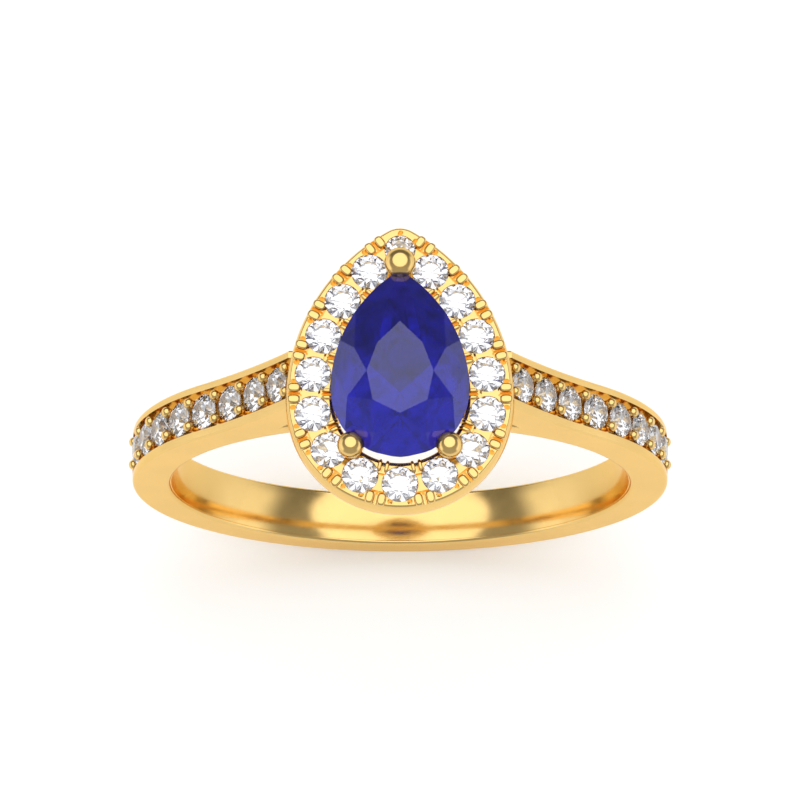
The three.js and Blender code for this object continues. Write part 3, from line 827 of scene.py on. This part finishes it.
def finished(mesh, name):
    """The mesh data of a cut stone, back in metres."""
    bmesh.ops.scale(mesh, vec=(MM,) * 3, verts=mesh.verts)
    data = bpy.data.meshes.new(name)
    mesh.to_mesh(data)
    mesh.free()
    return data


def facet_ring(mesh, count, shift, reach, height, slope):
    """Evenly turned facets at a radius and height; below the girdle the height is negative."""
    for i in range(count):
        turn = 2 * math.pi / count * (i + shift)
        around = Vector((math.cos(turn), math.sin(turn), 0))
        upright = Vector((0, 0, math.copysign(math.cos(slope), height)))
        facet(mesh, around * reach + Vector((0, 0, height)), around * math.sin(slope) + upright)


def brilliant_mesh():
    """A full-cut round brilliant: girdle at zero, axis along Z."""
    half = MELEE_GIRDLE / 2
    radius = melee_radius
    crown = MELEE_CROWN
    pavilion = melee_high.z - melee_low.z - MELEE_CROWN - MELEE_GIRDLE
    table = radius * MELEE_TABLE_SHARE
    top = half + crown
    mesh = cut_from(turned("blank", [(0, -CLEAR), (radius, -CLEAR), (radius, top), (0, top)], 64))
    main = math.atan2(crown, radius - table)
    deep = math.atan2(pavilion, radius)
    facet_ring(mesh, 8, 0, radius, half, main)
    facet_ring(mesh, 8, 0, radius, -half, deep)
    facet_ring(mesh, 8, 0.5, table * math.cos(math.pi / 8), top, main * STAR_SLOPE)
    facet_ring(mesh, 16, 0.5, radius * HALF_EDGE_SHARE, half, main * UPPER_HALF_SLOPE)
    facet_ring(mesh, 16, 0.5, radius * HALF_EDGE_SHARE, -half, deep * LOWER_HALF_SLOPE)
    return finished(mesh, "brilliant")


def make_melee():
    """Every small round stone, each in its CAD stone's place."""
    data = brilliant_mesh()
    stones = []
    places = {name: halo_stone_place(i) for i, name in enumerate(halo_names)}
    sizes = {name: halo_stone_size(i) for i, name in enumerate(halo_names)}
    for word, side in (("left", -1), ("right", 1)):
        for i in range(SHOULDER_STONES):
            places[f"shoulder_stone_{word}_{i + 1}"] = shoulder_stone_place(i, side)
    for name, (place, up, _) in places.items():
        piece = bpy.data.objects.new(name.replace("stone", "brilliant"), data.copy())
        bpy.context.scene.collection.objects.link(piece)
        piece.data.transform(Matrix.Scale(sizes.get(name, 1.0), 4))
        moved(piece, place, up, math.pi / 16)
        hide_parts(name)
        stones.append(piece)
    return stones


def make_pear_stone():
    """A pear brilliant: table, stars, kites and halves above, mains and halves below."""
    half = PEAR_GIRDLE / 2
    low = pear_low.z
    crown_z = pear_girdle + half + PEAR_CROWN
    outline = pear.offset(0, HALO_POINTS)
    mesh = cut_from(prism("blank", outline, [(low - CLEAR, 0), (crown_z, 0)], upward))
    heart = Vector((0, pear.centre_y + PEAR_RISE / 4, 0))
    inside = heart + Vector((0, 0, pear_girdle))
    culet = heart + Vector((0, 0, low))
    eighth = pear.length / PEAR_FACETS

    def edge(i, height):
        """A place on the girdle, i eighths of the way round it."""
        point, _ = pear.at(i * eighth)
        return Vector((point.x, point.y, pear_girdle + height))

    def corner(i):
        """A corner of the table."""
        point, _ = pear.at(i * eighth)
        spot = heart.lerp(Vector((point.x, point.y, 0)), PEAR_TABLE_SHARE)
        return Vector((spot.x, spot.y, crown_z))

    def cut(a, b, c):
        """One facet through three points."""
        normal = (b - a).cross(c - a).normalized()
        if normal.dot(inside - a) > 0:
            normal.negate()
        facet(mesh, a, normal)

    def along(i):
        """The direction of the girdle where a main facet stands."""
        _, out = pear.at(i * eighth)
        at_point = 2 * i == PEAR_FACETS
        return Vector((1, 0, 0)) if at_point else Vector((-out.y, out.x, 0))

    def meet(i, height):
        """Where the crown's main facets i and i + 1 meet, at a height."""
        lines = []
        for k in (i, i + 1):
            start = edge(k, half).lerp(corner(k), (height - half) / PEAR_CROWN)
            lines.append((start, along(k)))
        (a, u), (b, v) = lines
        t = ((b.x - a.x) * v.y - (b.y - a.y) * v.x) / (u.x * v.y - u.y * v.x)
        return a + u * t

    for i in range(PEAR_FACETS):
        cut(edge(i, half), edge(i, half) + along(i), corner(i))
        cut(edge(i, -half), edge(i, -half) + along(i), culet)
    rim = half - HALF_EDGE_INSET
    for i in range(PEAR_FACETS):
        tip = meet(i, half + STAR_TIP_SHARE * PEAR_CROWN)
        cut(corner(i), corner(i + 1), tip)
        below = edge(i + 0.5, 0).lerp(inside, LOWER_HALF_REACH)
        depth = (pear_girdle - half - culet.z) * (1 - LOWER_HALF_REACH)
        below.z = culet.z + depth - LOWER_HALF_DROP
        for k in (i, i + 1):
            cut(edge(k, rim), edge(i + 0.5, rim), tip)
            cut(edge(k, -rim), edge(i + 0.5, -rim), below)
    piece = bpy.data.objects.new("pear_sapphire", finished(mesh, "pear_sapphire"))
    bpy.context.scene.collection.objects.link(piece)
    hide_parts("centre_stone")
    return piece


# ---- Materials ----
def new_material(name):
    """A material, its node tree and its shader."""
    material = bpy.data.materials.new(name)
    material.use_nodes = True
    tree = material.node_tree
    return material, tree, tree.nodes["Principled BSDF"]


def noise(tree, scale, detail, distortion=0.0):
    """A noise texture in the object's own coordinates; the scale is in waves per millimetre."""
    where = tree.nodes.new("ShaderNodeTexCoord")
    texture = tree.nodes.new("ShaderNodeTexNoise")
    texture.inputs["Scale"].default_value = scale / MM
    texture.inputs["Detail"].default_value = detail
    texture.inputs["Distortion"].default_value = distortion
    tree.links.new(where.outputs["Object"], texture.inputs["Vector"])
    return texture.outputs["Fac"]


def ramp(tree, source, stops):
    """A colour ramp through (position, colour) stops."""
    node = tree.nodes.new("ShaderNodeValToRGB")
    elements = node.color_ramp.elements
    while len(elements) < len(stops):
        elements.new(0.5)
    for element, (position, colour) in zip(elements, stops):
        element.position = position
        element.color = colour
    tree.links.new(source, node.inputs["Fac"])
    return node.outputs["Color"]


def gold_material():
    """Polished yellow gold with a faint drift of colour and gloss and a soft polishing texture."""
    material, tree, shader = new_material("polished_gold")
    shader.inputs["Metallic"].default_value = 1.0
    shader.inputs["Specular Tint"].default_value = (1.0, 0.86, 0.62, 1)
    drift = ramp(tree, noise(tree, 0.5, 3), [(0.35, (0.79, 0.54, 0.2, 1)), (0.65, (0.83, 0.57, 0.215, 1))])
    tree.links.new(drift, shader.inputs["Base Color"])
    haze = ramp(tree, noise(tree, 2.5, 4), [(0.3, (0.12, 0.12, 0.12, 1)), (0.7, (0.17, 0.17, 0.17, 1))])
    tree.links.new(haze, shader.inputs["Roughness"])
    bump = tree.nodes.new("ShaderNodeBump")
    bump.inputs["Strength"].default_value = 0.02
    bump.inputs["Distance"].default_value = 0.01 * MM
    tree.links.new(noise(tree, 9, 5, 0.4), bump.inputs["Height"])
    tree.links.new(bump.outputs["Normal"], shader.inputs["Normal"])
    return material


def diamond_material():
    """Clear and colourless, with the faintest cool drift."""
    material, tree, shader = new_material("diamond")
    shader.inputs["Transmission Weight"].default_value = 1.0
    shader.inputs["IOR"].default_value = 2.417
    shader.inputs["Roughness"].default_value = 0.0
    tint = ramp(tree, noise(tree, 1.2, 2), [(0.4, (0.76, 0.78, 0.84, 1)), (0.6, (0.82, 0.83, 0.87, 1))])
    tree.links.new(tint, shader.inputs["Base Color"])
    return material


def sapphire_material():
    """Royal blue, part clear and part veiled by fine silk inside the stone."""
    material, tree, shader = new_material("sapphire")
    shader.inputs["Transmission Weight"].default_value = 0.7
    shader.inputs["IOR"].default_value = 1.7
    shader.inputs["Roughness"].default_value = 0.0
    veil = noise(tree, 0.9, 6, 1.6)
    tint = ramp(tree, veil, [(0.3, (0.004, 0.004, 0.24, 1)), (0.6, (0.014, 0.014, 0.55, 1))])
    tree.links.new(tint, shader.inputs["Base Color"])
    return material


def floor_material():
    """A white lacquered board with a very soft reflection, a little over white to stay pale."""
    material, tree, shader = new_material("white_board")
    shader.inputs["Base Color"].default_value = (FLOOR_WHITE, FLOOR_WHITE, FLOOR_WHITE, 1)
    shade = ramp(tree, noise(tree, 0.02, 2), [(0.4, (0.24, 0.24, 0.24, 1)), (0.6, (0.26, 0.26, 0.26, 1))])
    tree.links.new(shade, shader.inputs["Roughness"])
    return material


# ---- Scene ----
def make_camera():
    """Nearly straight down on the head, from far away."""
    toward = Vector((0, math.cos(CAMERA_ELEVATION), -math.sin(CAMERA_ELEVATION)))
    up = Vector((0, math.sin(CAMERA_ELEVATION), math.cos(CAMERA_ELEVATION)))
    camera_data = bpy.data.cameras.new("camera")
    camera_data.sensor_width = 36
    camera_data.lens = CAMERA_LENS
    camera_data.clip_start = 0.01
    camera = bpy.data.objects.new("camera", camera_data)
    camera.location = (up * CAMERA_LIFT - toward * CAMERA_DISTANCE) * MM
    camera.rotation_euler = (math.pi / 2 - CAMERA_ELEVATION, 0, 0)
    bpy.context.scene.collection.objects.link(camera)
    bpy.context.scene.camera = camera


def make_floor():
    """A board under the ring."""
    size = FLOOR_HALF_SIZE
    low = shank_low.z
    corners = [(-size, -size, low), (size, -size, low), (size, size, low), (-size, size, low)]
    board = made("floor_board", corners, [(0, 1, 2, 3)])
    board.data.materials.append(floor_material())


def make_world():
    """A studio dome: a wide soft light overhead, pale low sides and a dimmer room, darkest behind.

    Matt surfaces get an even light instead, so the board stays white with a close, soft shadow.
    """
    world = bpy.data.worlds.new("studio")
    world.use_nodes = True
    world.cycles.sampling_method = "NONE"
    bpy.context.scene.world = world
    tree = world.node_tree
    background = tree.nodes["Background"]
    where = tree.nodes.new("ShaderNodeTexCoord")
    toward = where.outputs["Generated"]
    split = tree.nodes.new("ShaderNodeSeparateXYZ")
    tree.links.new(toward, split.inputs["Vector"])

    def node_of(kind, operation, values):
        """A math node whose inputs are other nodes' outputs or plain values."""
        node = tree.nodes.new(kind)
        node.operation = operation
        for socket, value in zip(node.inputs, values):
            if isinstance(value, bpy.types.NodeSocket):
                tree.links.new(value, socket)
            else:
                socket.default_value = value
        return node

    def maths(operation, *values):
        return node_of("ShaderNodeMath", operation, values).outputs[0]

    def soft_step(value, low, high, bottom, top):
        """Goes smoothly from bottom to top as the value goes from low to high."""
        node = tree.nodes.new("ShaderNodeMapRange")
        node.interpolation_type = "SMOOTHSTEP"
        tree.links.new(value, node.inputs["Value"])
        ends = {"From Min": low, "From Max": high, "To Min": bottom, "To Max": top}
        for name, end in ends.items():
            node.inputs[name].default_value = end
        return node.outputs["Result"]

    middle = (0, math.sin(DOME_LEAN), math.cos(DOME_LEAN))
    nearness = node_of("ShaderNodeVectorMath", "DOT_PRODUCT", (toward, middle)).outputs["Value"]
    edge = math.cos(DOME_ANGLE)
    dome = soft_step(nearness, edge - DOME_EDGE, edge + DOME_EDGE, 0.0, DOME_LIGHT)
    room = soft_step(split.outputs["Y"], -1.0, 1.0, FRONT_LIGHT, BACK_LIGHT)
    wide = soft_step(maths("ABSOLUTE", split.outputs["X"]), 0.7, 0.9, 0.0, 1.0)
    low = soft_step(split.outputs["Z"], 0.2, 0.45, SIDE_LIGHT, 0.0)
    light = maths("ADD", maths("MAXIMUM", dome, room), maths("MULTIPLY", wide, low))
    path = tree.nodes.new("ShaderNodeLightPath")
    for ray, value in (("Is Diffuse Ray", MATT_LIGHT), ("Is Camera Ray", SEEN_LIGHT)):
        seen = path.outputs[ray]
        rest = maths("MULTIPLY", maths("SUBTRACT", 1.0, seen), light)
        light = maths("ADD", maths("MULTIPLY", seen, value), rest)
    tree.links.new(light, background.inputs["Color"])


def dress(piece, material):
    """Gives a piece its material and the body it rides on."""
    piece.data.materials.clear()
    piece.data.materials.append(material)
    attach(piece, "root")


def main():
    """Every piece with its material, then the floor, the light and the camera."""
    gold = gold_material()
    shank = make_shank()
    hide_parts("shank")
    halo = make_halo()
    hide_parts("halo_frame")
    base = make_base()
    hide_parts("basket_base")
    claws = []
    for name in CLAWS:
        claw = polished(make_claw(name))
        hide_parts("claw_" + name)
        claw.name = f"claw_{name}_gold"
        claws.append(claw)
    for piece in [shank, halo, base] + claws:
        dress(piece, gold)
    clear = diamond_material()
    for stone in make_melee():
        dress(stone, clear)
    dress(make_pear_stone(), sapphire_material())
    make_floor()
    make_world()
    make_camera()
    view = bpy.context.scene.view_settings
    view.view_transform = "Standard"
    view.exposure = 0.0
    cycles = bpy.context.scene.cycles
    cycles.max_bounces = 24
    cycles.glossy_bounces = 12
    cycles.transmission_bounces = 24


main()
